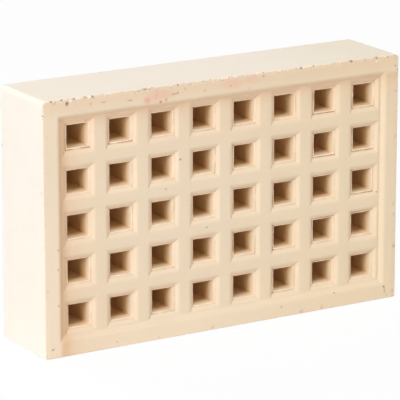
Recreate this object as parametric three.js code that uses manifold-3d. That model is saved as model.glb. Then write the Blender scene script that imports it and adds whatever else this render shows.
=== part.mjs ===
// Clay air brick: one pressed and fired piece, with a raised border round a sunk panel
// and a grid of splayed square openings that run right through it.
//
// Millimetres, +Z up. The brick stands on its bed, with its length along X and its outer
// face towards -Y. The origin is the middle of the bed, at the bottom of the brick.

import * as THREE from 'three';
import { mergeVertices } from 'three/addons/utils/BufferGeometryUtils.js';
import Module from 'manifold-3d';

const wasm = await Module();
wasm.setup();

// The block.
const LENGTH = 215;
const HEIGHT = 135;
const THICKNESS = 45.5;
const ARRIS_RADIUS = 0.7; // the soft edges round the outer face and the back
const CORNER_RADIUS = 2.5; // the four corners of the block's outline
const ROUNDING_STEPS = 4;

// The sunk panel inside the border.
const BORDER_WIDTH = 8.5;
const PANEL_BEVEL_WIDTH = 2.4;
const PANEL_DEPTH = 1.75;

// The openings: a shallow splay down to the throat, then a hole that narrows to the back.
const COLUMNS = 8;
const ROWS = 5;
const THROAT_WIDTH = 12.4;
const THROAT_HEIGHT = 12;
const SPLAY_WIDTH = 2.8;
const SPLAY_DEPTH = 1.8;
const HOLE_DRAFT = 0.3; // how far each wall comes in from the throat to the back
const END_MARGIN = 1.2; // flat clay between the panel's bevel and the outermost splays
const BED_MARGIN = 0.7; // the same above and below

const OVERSHOOT = 2; // how far a cutter runs past the face that it leaves through

const CLAY_COLOUR = 0xecd8bc;
const CLAY_ROUGHNESS = 0.92;

const FRONT = -THICKNESS / 2;
const BACK = THICKNESS / 2;
const PANEL_FLOOR = FRONT + PANEL_DEPTH;
const THROAT = PANEL_FLOOR + SPLAY_DEPTH;

/** Turns a closed geometry into a solid that can be cut. */
function toSolid(geometry) {
  const bare = geometry.clone();
  bare.deleteAttribute('normal');
  bare.deleteAttribute('uv');
  const merged = mergeVertices(bare);
  const mesh = new wasm.Mesh({
    numProp: 3,
    vertProperties: new Float32Array(merged.attributes.position.array),
    triVerts: new Uint32Array(merged.index.array),
  });
  return new wasm.Manifold(mesh);
}

/** Turns a solid back into a geometry with flat faces. */
function toGeometry(solid) {
  const mesh = solid.getMesh();
  const indexed = new THREE.BufferGeometry();
  indexed.setAttribute('position', new THREE.BufferAttribute(mesh.vertProperties, 3));
  indexed.setIndex(new THREE.BufferAttribute(mesh.triVerts, 1));
  const geometry = indexed.toNonIndexed();
  geometry.computeVertexNormals();
  return geometry;
}

/** A rectangle with rounded corners, centred on the origin of its own plane. */
function roundedRectangle(width, height, radius) {
  const shape = new THREE.Shape();
  const x = width / 2 - radius;
  const y = height / 2 - radius;
  shape.absarc(x, -y, radius, -Math.PI / 2, 0);
  shape.absarc(x, y, radius, 0, Math.PI / 2);
  shape.absarc(-x, y, radius, Math.PI / 2, Math.PI);
  shape.absarc(-x, -y, radius, Math.PI, (3 * Math.PI) / 2);
  return shape;
}

/** The block before the panel and the openings are cut, round its own middle. */
function plainBlock() {
  const outline = roundedRectangle(
    LENGTH - 2 * ARRIS_RADIUS,
    HEIGHT - 2 * ARRIS_RADIUS,
    CORNER_RADIUS - ARRIS_RADIUS,
  );
  const geometry = new THREE.ExtrudeGeometry(outline, {
    depth: THICKNESS - 2 * ARRIS_RADIUS,
    bevelSize: ARRIS_RADIUS,
    bevelThickness: ARRIS_RADIUS,
    bevelSegments: ROUNDING_STEPS,
    curveSegments: ROUNDING_STEPS,
  });
  geometry.translate(0, 0, -(THICKNESS / 2 - ARRIS_RADIUS));
  geometry.rotateX(Math.PI / 2);
  return toSolid(geometry);
}

/**
 * A closed loft through rectangles whose middles lie on the Y axis.
 * Each section gives its place `y`, its `width` along X and its `height` along Z,
 * and the sections run from front to back.
 */
function loftRectangles(sections) {
  const corners = [[-0.5, -0.5], [0.5, -0.5], [0.5, 0.5], [-0.5, 0.5]];
  const positions = sections.flatMap(({ y, width, height }) =>
    corners.flatMap(([across, up]) => [across * width, y, up * height]));

  const indices = [0, 1, 2, 0, 2, 3];
  for (let section = 0; section < sections.length - 1; section += 1) {
    for (let side = 0; side < 4; side += 1) {
      const near = section * 4 + side;
      const nearNext = section * 4 + ((side + 1) % 4);
      indices.push(near, near + 4, nearNext + 4, near, nearNext + 4, nearNext);
    }
  }
  const last = (sections.length - 1) * 4;
  indices.push(last, last + 2, last + 1, last, last + 3, last + 2);

  const geometry = new THREE.BufferGeometry();
  geometry.setAttribute('position', new THREE.Float32BufferAttribute(positions, 3));
  geometry.setIndex(indices);
  return toSolid(geometry);
}

/** What is taken out of the block's face to leave the border standing. */
function panelCutter() {
  const mouthWidth = LENGTH - 2 * BORDER_WIDTH;
  const mouthHeight = HEIGHT - 2 * BORDER_WIDTH;
  return loftRectangles([
    { y: FRONT - OVERSHOOT, width: mouthWidth, height: mouthHeight },
    { y: FRONT, width: mouthWidth, height: mouthHeight },
    {
      y: PANEL_FLOOR,
      width: mouthWidth - 2 * PANEL_BEVEL_WIDTH,
      height: mouthHeight - 2 * PANEL_BEVEL_WIDTH,
    },
  ]);
}

/** One splayed opening along the Y axis. */
function openingCutter() {
  const mouthWidth = THROAT_WIDTH + 2 * SPLAY_WIDTH;
  const mouthHeight = THROAT_HEIGHT + 2 * SPLAY_WIDTH;
  const narrowing = (2 * HOLE_DRAFT * (BACK + OVERSHOOT - THROAT)) / (BACK - THROAT);
  return loftRectangles([
    { y: FRONT - OVERSHOOT, width: mouthWidth, height: mouthHeight },
    { y: PANEL_FLOOR, width: mouthWidth, height: mouthHeight },
    { y: THROAT, width: THROAT_WIDTH, height: THROAT_HEIGHT },
    { y: BACK + OVERSHOOT, width: THROAT_WIDTH - narrowing, height: THROAT_HEIGHT - narrowing },
  ]);
}

/** The middles of `count` equal openings, spread so that the outer ones end at the margin. */
function spread(count, panelSize, openingSize, margin) {
  const reach = panelSize - 2 * margin - openingSize;
  const pitch = reach / Math.max(count - 1, 1);
  return Array.from({ length: count }, (_, place) => (place - (count - 1) / 2) * pitch);
}

/** Every opening of the grid, in one solid. */
function openingGrid() {
  const rim = BORDER_WIDTH + PANEL_BEVEL_WIDTH;
  const mouthWidth = THROAT_WIDTH + 2 * SPLAY_WIDTH;
  const mouthHeight = THROAT_HEIGHT + 2 * SPLAY_WIDTH;
  const columns = spread(COLUMNS, LENGTH - 2 * rim, mouthWidth, END_MARGIN);
  const rows = spread(ROWS, HEIGHT - 2 * rim, mouthHeight, BED_MARGIN);
  const cutter = openingCutter();
  const placed = rows.flatMap((z) => columns.map((x) => cutter.translate([x, 0, z])));
  return wasm.Manifold.union(placed);
}

const clay = new THREE.MeshStandardMaterial({
  name: 'fired_clay',
  color: CLAY_COLOUR,
  roughness: CLAY_ROUGHNESS,
  metalness: 0,
});

const brickSolid = plainBlock().subtract(panelCutter()).subtract(openingGrid());
const brick = new THREE.Mesh(toGeometry(brickSolid), clay);
brick.name = 'air_brick';
brick.position.z = HEIGHT / 2; // the solid is made round its own middle

const group = new THREE.Group();
group.add(brick);

export default group;
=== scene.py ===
import logging
import math
from collections.abc import Sequence
from dataclasses import dataclass, field
from enum import Enum
from typing import Any

import bmesh
import bpy
import numpy as np
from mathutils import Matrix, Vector
from mathutils.geometry import delaunay_2d_cdt


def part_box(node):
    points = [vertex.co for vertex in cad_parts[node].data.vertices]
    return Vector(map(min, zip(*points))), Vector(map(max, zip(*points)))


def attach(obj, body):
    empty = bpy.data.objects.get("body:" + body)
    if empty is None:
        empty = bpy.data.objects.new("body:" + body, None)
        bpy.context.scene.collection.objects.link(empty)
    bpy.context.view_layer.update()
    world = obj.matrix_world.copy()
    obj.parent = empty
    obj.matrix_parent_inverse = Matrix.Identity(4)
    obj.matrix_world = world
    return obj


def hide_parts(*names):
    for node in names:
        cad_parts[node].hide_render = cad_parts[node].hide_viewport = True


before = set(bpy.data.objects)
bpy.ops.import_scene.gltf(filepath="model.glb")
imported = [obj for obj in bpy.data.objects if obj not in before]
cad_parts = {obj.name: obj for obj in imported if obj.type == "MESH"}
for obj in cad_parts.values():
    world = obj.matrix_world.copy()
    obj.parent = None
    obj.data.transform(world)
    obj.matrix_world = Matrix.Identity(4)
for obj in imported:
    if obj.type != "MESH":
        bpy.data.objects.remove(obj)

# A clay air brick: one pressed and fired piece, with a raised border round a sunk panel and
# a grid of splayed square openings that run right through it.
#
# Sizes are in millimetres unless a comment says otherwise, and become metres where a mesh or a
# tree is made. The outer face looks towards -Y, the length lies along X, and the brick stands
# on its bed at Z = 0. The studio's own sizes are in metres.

logging.basicConfig(level=logging.INFO, format="%(message)s")
log = logging.getLogger("air_brick")

MM = 0.001
CAD_NODE = "air_brick"
CAD_BODY = "root"

Feed = Any  # a socket to link from, or a plain value for the socket
Values = float | np.ndarray
Colour = tuple[float, float, float]
Range = tuple[float, float]  # where a mask starts and where it is full

# The places of a Mix node's sockets when it mixes colours.
MIX_FACTOR, MIX_FIRST, MIX_SECOND, MIX_RESULT = 0, 6, 7, 2


class Side(Enum):
    """The sides of one opening, as seen from in front."""

    LEFT = "left"
    RIGHT = "right"
    TOP = "top"
    BOTTOM = "bottom"

    @property
    def attribute(self) -> str:
        """The name of the mesh attribute that masks this side of a throat."""
        return f"side_{self.value}"

    @property
    def burr(self) -> str:
        """The name of the attribute that holds the burr left on this side."""
        return f"burr_{self.value}"


class Skin(Enum):
    """The attributes that tell the finish which part of the brick it covers."""

    PRESSED = "pressed"
    END = "end"
    BORE = "bore"
    THROAT = "throat"
    LIP = "lip"
    SEAM = "seam"
    CREASE = "crease"
    CREST = "crest"
    GROOVE = "groove"
    ARRIS = "arris"
    PITTED = "pitted"
    RAGGED = "ragged"


def srgb(red: int, green: int, blue: int) -> Colour:
    """Turns a colour of 0 to 255 into the linear values that shaders take.

    Args:
        red: The red part.
        green: The green part.
        blue: The blue part.

    Returns:
        The three linear parts.
    """

    def linear(part: int) -> float:
        """Turns one part linear."""
        share = part / 255
        return share / 12.92 if share <= 0.04045 else ((share + 0.055) / 1.055) ** 2.4

    return linear(red), linear(green), linear(blue)


def soft_ramp(
    distance: np.ndarray, width: float, head: float, foot: Values
) -> np.ndarray:
    """Climbs from 0 to 1 over a width, with both ends rounded.

    Args:
        distance: How far each point has come from the start of the ramp.
        width: The ramp's width.
        head: The radius of the rounding at the start.
        foot: The radius of the rounding at the end.

    Returns:
        The share of the ramp's depth at each point.
    """

    def area(reach: np.ndarray) -> np.ndarray:
        """The area under a straight ramp up to each point."""
        inside = np.clip(reach, 0.0, width)
        return inside**2 / (2 * width) + np.clip(reach - width, 0.0, None)

    def rounded(radius: Values) -> np.ndarray:
        """The ramp, averaged over a radius on either side of each point."""
        return (area(distance + radius) - area(distance - radius)) / (2 * radius)

    return np.where(distance < width / 2, rounded(head), rounded(foot))


def smooth_step(value: Values, low: float, high: float) -> Values:
    """Eases from 0 at low to 1 at high.

    Args:
        value: The values to ease.
        low: Where the step starts.
        high: Where the step ends, which may be below low.

    Returns:
        The eased values.
    """
    share = np.clip((value - low) / (high - low), 0.0, 1.0)
    return share * share * (3 - 2 * share)


def direction(azimuth: float, elevation: float) -> Vector:
    """Points from the brick to a lamp or camera.

    Args:
        azimuth: Degrees round the brick, from straight in front of its outer face.
        elevation: Degrees up from level.

    Returns:
        The direction, as a vector of length 1.
    """
    turn, rise = math.radians(azimuth), math.radians(elevation)
    return Vector(
        (math.sin(turn) * math.cos(rise), -math.cos(turn) * math.cos(rise), math.sin(rise))
    )


# ---------------------------------------------------------------- node trees


class TreeWriter:
    """Adds nodes to one node tree, feeds their inputs and joins their sockets."""

    def __init__(self, tree: bpy.types.NodeTree) -> None:
        """Takes the tree that is to be written."""
        self.tree = tree

    def add(self, kind: str, feeds: dict[Any, Feed] | None = None, **settings: Any) -> Any:
        """Adds one node.

        Args:
            kind: The node's type name.
            feeds: Values or sockets for its inputs, by name or place.
            **settings: The node's own properties.

        Returns:
            The node.
        """
        node = self.tree.nodes.new(kind)
        for name, value in settings.items():
            setattr(node, name, value)
        for place, value in (feeds or {}).items():
            self.feed(node.inputs[place], value)
        return node

    def feed(self, socket: bpy.types.NodeSocket, value: Feed) -> None:
        """Links a socket to an input, or sets the input to a plain value.

        Args:
            socket: The input.
            value: The socket to link from, or the plain value.
        """
        if isinstance(value, bpy.types.NodeSocket):
            self.tree.links.new(value, socket)
        else:
            socket.default_value = value

    def math(self, operation: str, *values: Feed, clamp: bool = False) -> Any:
        """Adds a Math node.

        Args:
            operation: What the node works out.
            *values: Its inputs, in order.
            clamp: Whether the result is kept between 0 and 1.

        Returns:
            The result's socket.
        """
        feeds = dict(enumerate(values))
        node = self.add("ShaderNodeMath", feeds, operation=operation, use_clamp=clamp)
        return node.outputs[0]

    def times(self, first: Feed, second: Feed) -> Any:
        """Returns the product of two numbers."""
        return self.math("MULTIPLY", first, second)

    def plus(self, first: Feed, second: Feed) -> Any:
        """Returns the sum of two numbers."""
        return self.math("ADD", first, second)

    def minus(self, first: Feed, second: Feed) -> Any:
        """Returns what is left when the second number is taken from the first."""
        return self.math("SUBTRACT", first, second)

    def over(self, first: Feed, second: Feed) -> Any:
        """Returns the first number divided by the second."""
        return self.math("DIVIDE", first, second)

    def most(self, first: Feed, second: Feed) -> Any:
        """Returns the larger of two numbers."""
        return self.math("MAXIMUM", first, second)

    def lifted(self, share: Feed, least: float) -> Any:
        """Squeezes a share of 0 to 1 so that it runs from least to 1."""
        return self.plus(least, self.times(share, 1 - least))

    def vector(self, operation: str, *values: Feed) -> Any:
        """Adds a Vector Math node.

        Args:
            operation: What the node works out.
            *values: Its inputs, in order.

        Returns:
            The socket of its vector, or of its value for a length.
        """
        node = self.add("ShaderNodeVectorMath", dict(enumerate(values)), operation=operation)
        return node.outputs["Value" if operation == "LENGTH" else "Vector"]

    def scaled(self, vector: Feed, factor: Feed) -> Any:
        """Returns a vector times a number."""
        feeds = {0: vector, "Scale": factor}
        return self.add("ShaderNodeVectorMath", feeds, operation="SCALE").outputs["Vector"]

    def step(self, value: Feed, low: Feed, high: Feed) -> Any:
        """Eases a value from 0 at low to 1 at high.

        Args:
            value: The value to ease.
            low: Where the step starts.
            high: Where the step ends, which may be below low.

        Returns:
            The result's socket.
        """
        feeds = {"Value": value, "From Min": low, "From Max": high}
        node = self.add("ShaderNodeMapRange", feeds, interpolation_type="SMOOTHSTEP")
        return node.outputs["Result"]

    def parts(self, vector: Feed) -> Any:
        """Returns the sockets of a vector's three parts."""
        return self.add("ShaderNodeSeparateXYZ", {0: vector}).outputs

    def noise(self, place: Feed, scale: Feed, detail: float, out: str = "Fac") -> Any:
        """Adds noise.

        Args:
            place: Where the noise is taken.
            scale: How many of its hills fit in a metre.
            detail: How many finer layers it holds.
            out: "Fac" for a number, or "Color" for three of them.

        Returns:
            The noise's socket.
        """
        feeds = {"Vector": place, "Scale": scale, "Detail": detail}
        node = self.add("ShaderNodeTexNoise", feeds, noise_dimensions="3D")
        return node.outputs[out]

    def blend(self, factor: Feed, first: Feed, second: Feed, mode: str = "MIX") -> Any:
        """Blends two colours.

        Args:
            factor: The share of the second colour.
            first: The first colour.
            second: The second colour.
            mode: How the node blends them.

        Returns:
            The blend's socket.
        """
        node = self.add("ShaderNodeMix", data_type="RGBA", blend_type=mode)
        self.feed(node.inputs[MIX_FACTOR], factor)
        self.feed(node.inputs[MIX_FIRST], first)
        self.feed(node.inputs[MIX_SECOND], second)
        return node.outputs[MIX_RESULT]

    def tint(self, factor: Feed, colour: Feed, tint: Colour) -> Any:
        """Returns a colour, covered by a plain tint to the share of a factor."""
        return self.blend(factor, colour, (*tint, 1))


class GeometryTree:
    """A Geometry Nodes tree with named inputs, which ends in one material."""

    def __init__(self, name: str) -> None:
        """Makes the empty tree with its geometry sockets.

        Args:
            name: The tree's name.
        """
        self.tree = bpy.data.node_groups.new(name, "GeometryNodeTree")
        self.write = TreeWriter(self.tree)
        self.values: dict[str, Any] = {}
        self._socket("Geometry", "Geometry", "INPUT")
        self._socket("Geometry", "Geometry", "OUTPUT")
        self.input_node = self.write.add("NodeGroupInput")

    def _socket(self, name: str, kind: str, way: str) -> Any:
        """Adds a socket to the tree's own face."""
        face = self.tree.interface
        return face.new_socket(name=name, in_out=way, socket_type=f"NodeSocket{kind}")

    @property
    def geometry(self) -> Any:
        """The geometry that comes into the tree."""
        return self.input_node.outputs["Geometry"]

    def size(self, name: str, kind: str, value: Any) -> Any:
        """Adds a named input.

        Args:
            name: The input's name.
            kind: Float, Int, Vector, Object or Material.
            value: What the modifier sets it to.

        Returns:
            The socket that gives the value inside the tree.
        """
        item = self._socket(name, kind, "INPUT")
        self.values[item.identifier] = value
        return self.input_node.outputs[name]

    def length(self, name: str, millimetres: float) -> Any:
        """Adds a named length and returns the socket that gives it inside the tree."""
        return self.size(name, "Float", millimetres * MM)

    def attribute(self, name: str) -> Any:
        """Returns a number stored on the mesh under a name."""
        feeds = {"Name": name}
        return self.write.add("GeometryNodeInputNamedAttribute", feeds).outputs["Attribute"]

    def store(self, geometry: Any, name: str, value: Feed, domain: str = "POINT") -> Any:
        """Stores a number on the geometry.

        Args:
            geometry: The geometry.
            name: The name that the number is stored under.
            value: The number.
            domain: What holds it: points or instances.

        Returns:
            The geometry with the number on it.
        """
        feeds = {"Geometry": geometry, "Name": name, "Value": value}
        node = self.write.add("GeometryNodeStoreNamedAttribute", feeds, domain=domain)
        return node.outputs[0]

    def finish(self, geometry: Any, material: Any) -> None:
        """Ends the tree: the instances become real and the material is set.

        Args:
            geometry: What the tree has made.
            material: The socket that gives the material.
        """
        real = self.write.add("GeometryNodeRealizeInstances", {"Geometry": geometry})
        feeds = {"Geometry": real.outputs[0], "Material": material}
        dressed = self.write.add("GeometryNodeSetMaterial", feeds)
        self.write.add("NodeGroupOutput", {"Geometry": dressed.outputs[0]})

    def run(self, piece: bpy.types.Object, name: str) -> bpy.types.Object:
        """Runs the tree on an object and keeps the result as a plain mesh.

        Args:
            piece: The object whose mesh goes in. It is removed afterwards.
            name: The name of the object that comes out.

        Returns:
            The new object.
        """
        modifier = piece.modifiers.new(self.tree.name, "NODES")
        modifier.node_group = self.tree
        for identifier, value in self.values.items():
            modifier[identifier] = value
        graph = bpy.context.evaluated_depsgraph_get()
        mesh = bpy.data.meshes.new_from_object(piece.evaluated_get(graph), depsgraph=graph)
        bpy.data.objects.remove(piece)
        return new_object(name, mesh)


def new_object(name: str, mesh: bpy.types.Mesh) -> bpy.types.Object:
    """Makes an object for a mesh and puts it in the scene.

    Args:
        name: The object's name.
        mesh: Its mesh.

    Returns:
        The object, at the origin.
    """
    mesh.name = name
    made = bpy.data.objects.new(name, mesh)
    bpy.context.scene.collection.objects.link(made)
    return made


# ---------------------------------------------------------------- the brick's form


@dataclass(frozen=True)
class BrickForm:
    """The brick's driving sizes and the layout that follows from them."""

    length: float
    thickness: float
    height: float
    arris_radius: float = 0.7
    upper_corner_radius: float = 2.5
    lower_corner_radius: float = 1.2
    border_width: float = 8.5
    bevel_width: float = 2.4
    bevel_head: float = 0.75
    bevel_foot: float = 0.15
    left_bevel_foot: float = 0.9
    crease_width: float = 0.5
    panel_depth: float = 1.75
    die_shift: tuple[float, float] = (0.4, -0.1)
    columns: int = 8
    rows: int = 5
    throat_width: float = 12.5
    throat_height: float = 12.1
    splay_width: float = 2.75
    splay_depth: float = 1.8
    splay_head: float = 0.4
    splay_foot: float = 0.2
    lip_width: float = 0.5
    seam_width: float = 0.9
    mitre_length: float = 2.0
    flare_width: float = 0.35
    flare_depth: float = 1.0
    rim_radius: float = 0.4
    back_rim: float = 0.3
    side_margin: float = 1.2
    bed_margin: float = 0.7

    @classmethod
    def from_frame(cls) -> "BrickForm":
        """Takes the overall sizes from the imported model's box.

        Returns:
            The form.
        """
        low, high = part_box(CAD_NODE)
        length, thickness, height = (high - low) / MM
        return cls(length, thickness, height)

    @property
    def front(self) -> float:
        """Where the outer face lies along Y."""
        return -self.thickness / 2

    @property
    def back(self) -> float:
        """Where the back face lies along Y."""
        return self.thickness / 2

    def corner_radius(self, up: np.ndarray) -> np.ndarray:
        """The radius of the outline's corner nearest to each height."""
        return np.where(up > 0, self.upper_corner_radius, self.lower_corner_radius)

    @property
    def mouth_width(self) -> float:
        """An opening's width across its splay."""
        return self.throat_width + 2 * self.splay_width

    @property
    def mouth_height(self) -> float:
        """An opening's height across its splay."""
        return self.throat_height + 2 * self.splay_width

    @property
    def throat_y(self) -> float:
        """Where the throats lie along Y."""
        return self.front + self.panel_depth + self.splay_depth

    def wall_inset(self, depth: float) -> float:
        """How far an opening's walls have come in at a depth behind the throat."""
        return self.flare_width * (1 - math.exp(-depth / self.flare_depth))

    def _centres(self, count: int, size: float, mouth: float, margin: float) -> np.ndarray:
        """Spreads a row of openings so that the outer ones end at the margin.

        Args:
            count: How many openings the row holds.
            size: The face's size along the row.
            mouth: An opening's size across its splay.
            margin: The flat strip between the bevel's foot and the outer openings.

        Returns:
            The openings' middles, from the middle of the row.
        """
        rim = self.border_width + self.bevel_width + margin
        reach = size - 2 * rim - mouth
        return (np.arange(count) - (count - 1) / 2) * reach / (count - 1)

    def panel_inset(self, across: np.ndarray, up: np.ndarray) -> np.ndarray:
        """How far points lie inside the outline that the die's panel is set out from.

        Args:
            across: Distances along X from the middle of the face.
            up: Distances along Z from the middle of the face.

        Returns:
            The distances to the nearest side of that outline.
        """
        shift_x, shift_z = self.die_shift
        from_end = self.length / 2 - abs(across - shift_x)
        from_bed = self.height / 2 - abs(up - shift_z)
        return np.minimum(from_end, from_bed)

    @property
    def column_centres(self) -> np.ndarray:
        """The openings' middles along X."""
        middle = self._centres(self.columns, self.length, self.mouth_width, self.side_margin)
        return middle + self.die_shift[0]

    @property
    def row_centres(self) -> np.ndarray:
        """The openings' middles along Z, measured from the middle of the face."""
        middle = self._centres(self.rows, self.height, self.mouth_height, self.bed_margin)
        return middle + self.die_shift[1]

    def arris_depth(self, inset: Values) -> Values:
        """How far the rounded arris falls back.

        Args:
            inset: Distances in from the outline.

        Returns:
            The depths behind the face's plane.
        """
        radius = self.arris_radius
        reach = np.clip(radius - inset, 0.0, radius)
        return radius - np.sqrt(radius**2 - reach**2)

    def face_depth(self, across: np.ndarray, up: np.ndarray) -> np.ndarray:
        """How deep the outer face lies behind its own plane, splays included.

        Args:
            across: Distances along X from the middle of the face.
            up: Distances along Z from the middle of the face.

        Returns:
            The depths.
        """
        inset = np.minimum(self.length / 2 - abs(across), self.height / 2 - abs(up))
        reach = self.panel_inset(across, up) - self.border_width
        on_left = self.length / 2 + across < self.height / 2 - abs(up)
        foot = np.where(on_left, self.left_bevel_foot, self.bevel_foot)
        bevel = soft_ramp(reach, self.bevel_width, self.bevel_head, foot)
        columns, rows = self.column_centres, self.row_centres
        from_column = np.abs(across[..., None] - columns).min(-1)
        from_row = np.abs(up[..., None] - rows).min(-1)
        splay = self.splay_depth_at(from_column, from_row)
        return self.arris_depth(inset) + self.panel_depth * bevel + splay

    def splay_depth_at(self, from_column: np.ndarray, from_row: np.ndarray) -> np.ndarray:
        """How deep a splay lies behind the panel.

        Args:
            from_column: Distances along X from the middle of the opening.
            from_row: Distances along Z from it.

        Returns:
            The depths.
        """
        inside = np.minimum(
            self.mouth_width / 2 - from_column, self.mouth_height / 2 - from_row
        )
        ramp = soft_ramp(inside, self.splay_width, self.splay_head, self.splay_foot)
        return self.splay_depth * ramp


@dataclass(frozen=True)
class MeshRuling:
    """How finely the brick's surface is ruled into faces."""

    form: BrickForm
    arris_steps: int = 4
    border_steps: int = 8
    bar_steps: int = 5
    throat_steps: int = 12
    bevel_stops: tuple[float, ...] = (-0.75, -0.35, 0.0, 0.35, 0.75, 1.5, 2.0, 2.4, 2.7, 3.0)
    splay_stops: tuple[float, ...] = (0.0, 0.35, 0.7, 1.4, 2.0, 2.25, 2.5, 2.75)
    wall_stops: tuple[float, ...] = (0.25, 0.7, 1.4, 2.5, 4.5, 8.5, 16.0, 27.0)
    side_stops: tuple[float, ...] = (0.5, 1.2, 2.4, 4.5, 8.0, 13.0, 18.0)
    back_spacing: float = 3.2

    def arris_insets(self) -> np.ndarray:
        """The lines round the arris, as insets from the outline."""
        turn = np.linspace(0, math.pi / 2, self.arris_steps + 1)
        return self.form.arris_radius * (1 - np.cos(turn))

    def opening_lines(self, throat: float) -> np.ndarray:
        """The lines across one opening.

        Args:
            throat: The throat's size in that direction.

        Returns:
            The lines' places, measured from the opening's middle.
        """
        mouth = throat / 2 + self.form.splay_width
        splay = mouth - np.array(self.splay_stops)
        inner = np.linspace(-throat / 2, throat / 2, self.throat_steps + 1)
        return np.unique(np.round(np.concatenate([-splay, inner, splay]), 6))

    def face_lines(
        self, size: float, shift: float, centres: np.ndarray, throat: float
    ) -> np.ndarray:
        """The lines across the whole outer face in one direction.

        Args:
            size: The face's size in that direction.
            shift: How far the die sits off the middle in that direction.
            centres: The middles of the openings.
            throat: The throats' size.

        Returns:
            The lines' places, measured from the middle of the face.
        """
        form = self.form
        opening = self.opening_lines(throat)
        lines = []
        for side in (-1, 1):
            bevel = form.border_width + np.array(self.bevel_stops) - side * shift
            border = np.linspace(form.arris_radius, bevel[0], self.border_steps + 1)
            edge = size / 2 - np.concatenate([self.arris_insets(), border, bevel])
            lines.append(side * edge)
        for centre in centres:
            lines.append(centre + opening)
        soft = form.splay_head
        for near, far in zip(centres[:-1], centres[1:]):
            start, stop = near + opening[-1] + soft, far + opening[0] - soft
            lines.append(np.linspace(start, stop, self.bar_steps - 1))
        return np.unique(np.round(np.concatenate(lines), 6))


class MeshDraft:
    """Vertices, faces and attributes on their way to becoming a mesh."""

    def __init__(self) -> None:
        """Starts with nothing drawn."""
        self.points: list[np.ndarray] = []
        self.faces: list[tuple[int, ...]] = []
        self.marks: dict[str, list[np.ndarray]] = {}
        self.count = 0

    def add(self, points: np.ndarray, **marks: np.ndarray | float) -> np.ndarray:
        """Adds vertices.

        Args:
            points: Their places, one row each, in millimetres.
            **marks: Attribute values for them, the same for all or one each.

        Returns:
            The vertices' numbers.
        """
        first, total = self.count, len(points)
        self.points.append(np.asarray(points, float))
        for name in set(self.marks) | set(marks):
            kept = self.marks.setdefault(name, [np.zeros(first)])
            kept.append(np.broadcast_to(marks.get(name, 0.0), (total,)))
        self.count += total
        return np.arange(first, self.count)

    def bridge(self, near: np.ndarray, far: np.ndarray) -> None:
        """Joins two closed loops of vertices with a band of faces.

        Args:
            near: The numbers of the first loop's vertices.
            far: The numbers of the second's, in step with the first.
        """
        for place in range(len(near)):
            after = (place + 1) % len(near)
            self.faces.append((near[place], near[after], far[after], far[place]))

    def object(self, name: str) -> bpy.types.Object:
        """Turns the draft into an object.

        Args:
            name: The object's name.

        Returns:
            The object, with its attributes on its vertices.
        """
        mesh = bpy.data.meshes.new(name)
        places = np.concatenate(self.points) * MM
        mesh.from_pydata(places.tolist(), [], [list(map(int, face)) for face in self.faces])
        for mark, values in self.marks.items():
            stored = mesh.attributes.new(mark, "FLOAT", "POINT")
            stored.data.foreach_set("value", np.concatenate(values).astype(np.float32))
        return new_object(name, mesh)


def grid_rim(across: int, up: int) -> list[tuple[int, int]]:
    """Walks once round the rim of a grid of vertices.

    Args:
        across: The number of vertices along the first direction.
        up: The number along the second.

    Returns:
        The rim's places in the grid, in order.
    """
    bottom = [(place, 0) for place in range(across - 1)]
    right = [(across - 1, place) for place in range(up - 1)]
    top = [(place, up - 1) for place in range(across - 1, 0, -1)]
    left = [(0, place) for place in range(up - 1, 0, -1)]
    return bottom + right + top + left


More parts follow.
